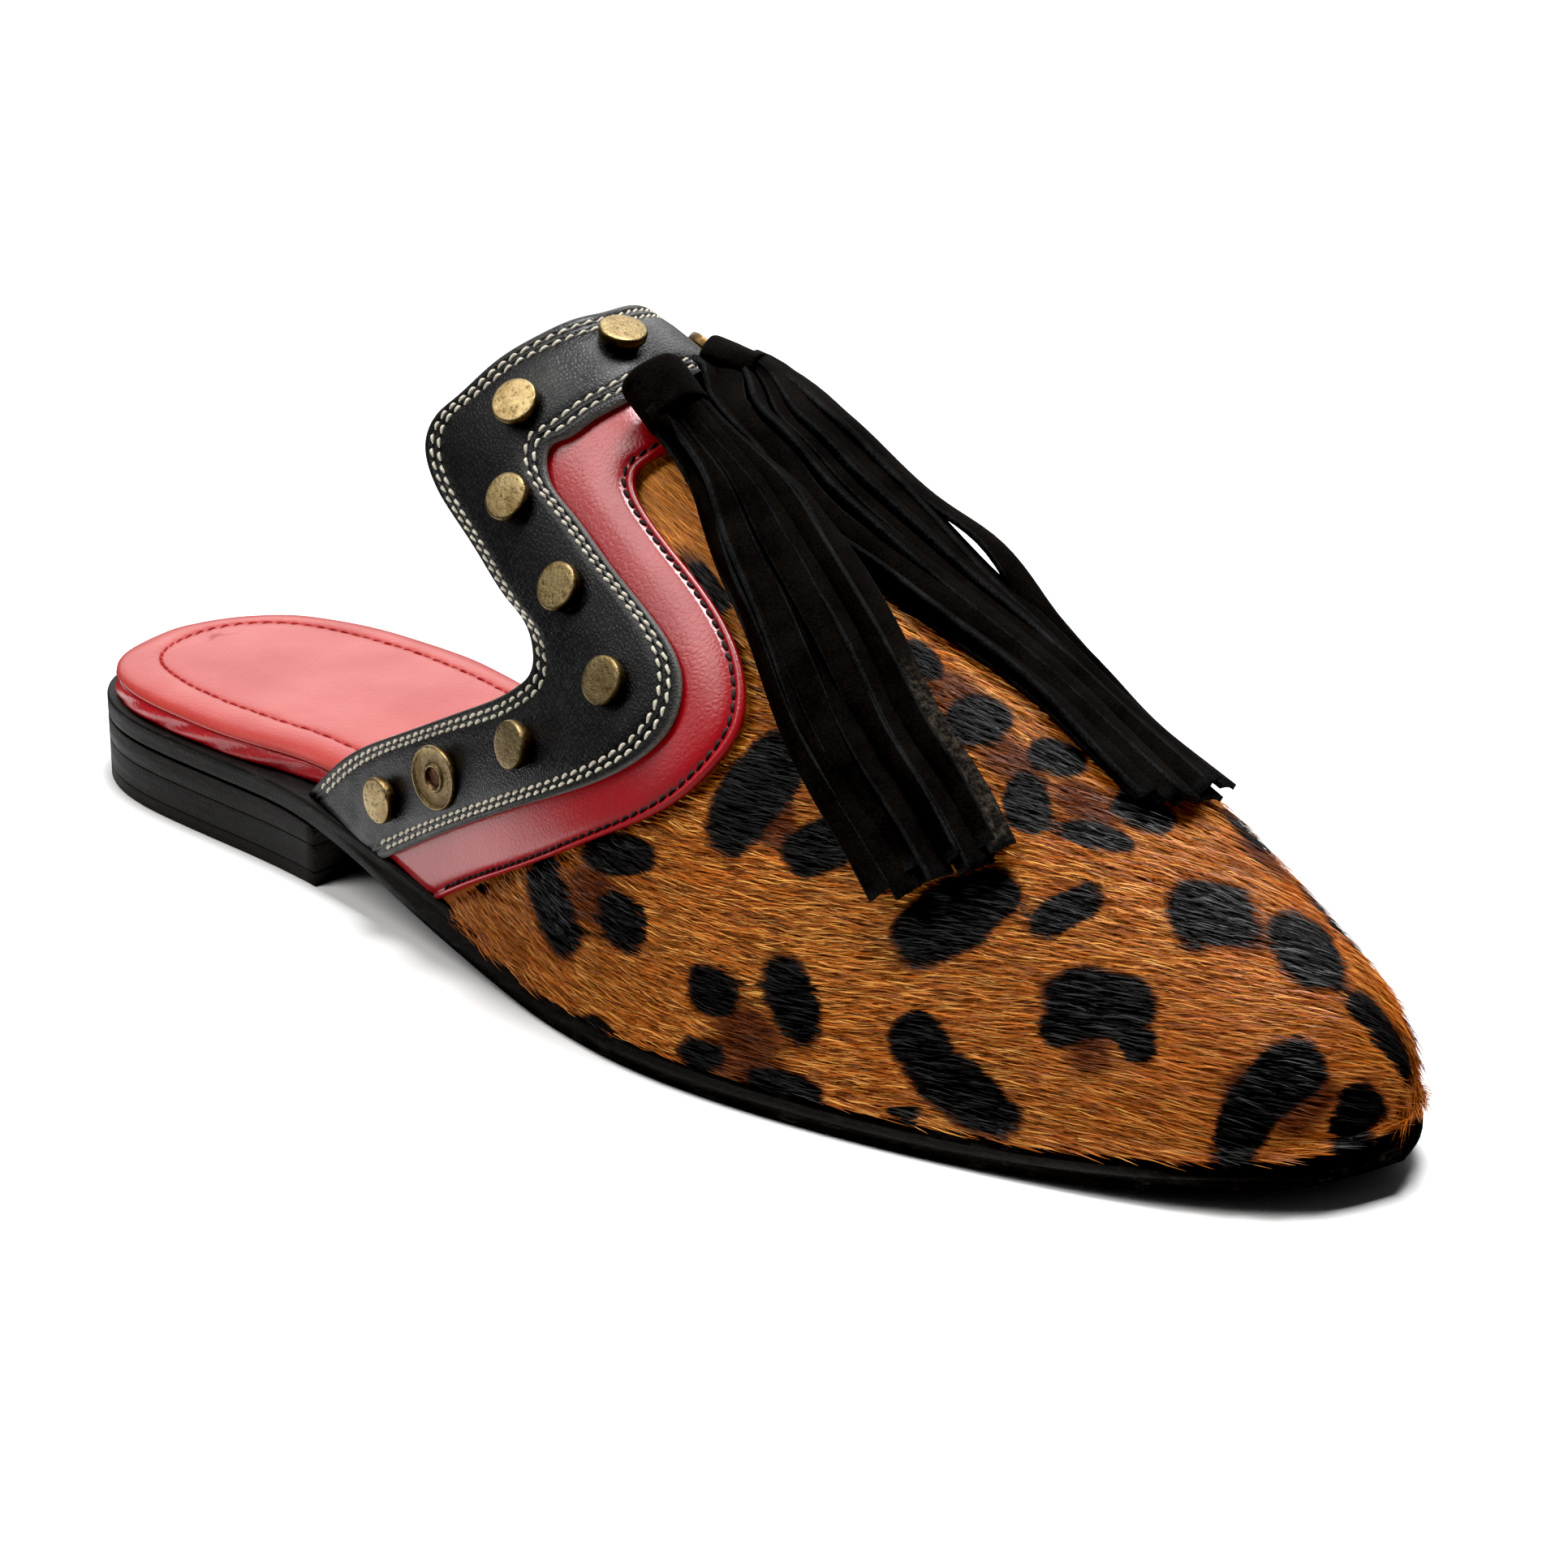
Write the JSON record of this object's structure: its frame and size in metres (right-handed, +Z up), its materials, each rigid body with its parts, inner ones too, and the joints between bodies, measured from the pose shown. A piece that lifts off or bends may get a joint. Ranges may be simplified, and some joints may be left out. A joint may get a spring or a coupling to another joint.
{
  "type": "flat mule",
  "caption": "Backless right-foot mule with a leopard hair vamp, red band, studded black collar, suede tassels, red padded footbed and a low stacked heel.",
  "frame": {"origin": "on the floor under the middle of the shoe's box", "axes": "+X to the toe, +Y to the inner side of the foot, +Z up"},
  "size_m": [0.2606, 0.0806, 0.0965],
  "materials": {
    "hair": "short hair on the hide, golden tan with charcoal spots",
    "red_leather": "glossy smooth crimson leather",
    "black_leather": "lightly pebbled black leather with cream stitching",
    "suede": "matt black suede",
    "brass": "antique, lightly hammered",
    "sole": "black edge dressing, satin",
    "top_piece": "matt black",
    "footbed": "soft red leather over padding"
  },
  "bodies": {
    "root": {"outsole": "sole", "heel_lift_upper": "sole", "heel_lift_lower": "sole", "heel_top_piece": "top_piece", "footbed_rim": "footbed", "footbed_pad": "footbed", "upper": "hair", "band": "red_leather", "collar": "black_leather", "stud_centre": "brass", "stud_outer_1": "brass", "snap_outer_2": "brass", "stud_outer_3": "brass", "stud_outer_4": "brass", "stud_outer_5": "brass", "stud_outer_6": "brass", "stud_outer_7": "brass", "stud_inner_1": "brass", "stud_inner_2": "brass", "stud_inner_3": "brass", "stud_inner_4": "brass", "stud_inner_5": "brass", "stud_inner_6": "brass", "stud_inner_7": "brass", "tassel_head_outer": "suede", "tassel_head_inner": "suede", "tassel_fringe_outer": "suede", "tassel_fringe_inner": "suede"}
  },
  "joints": []
}
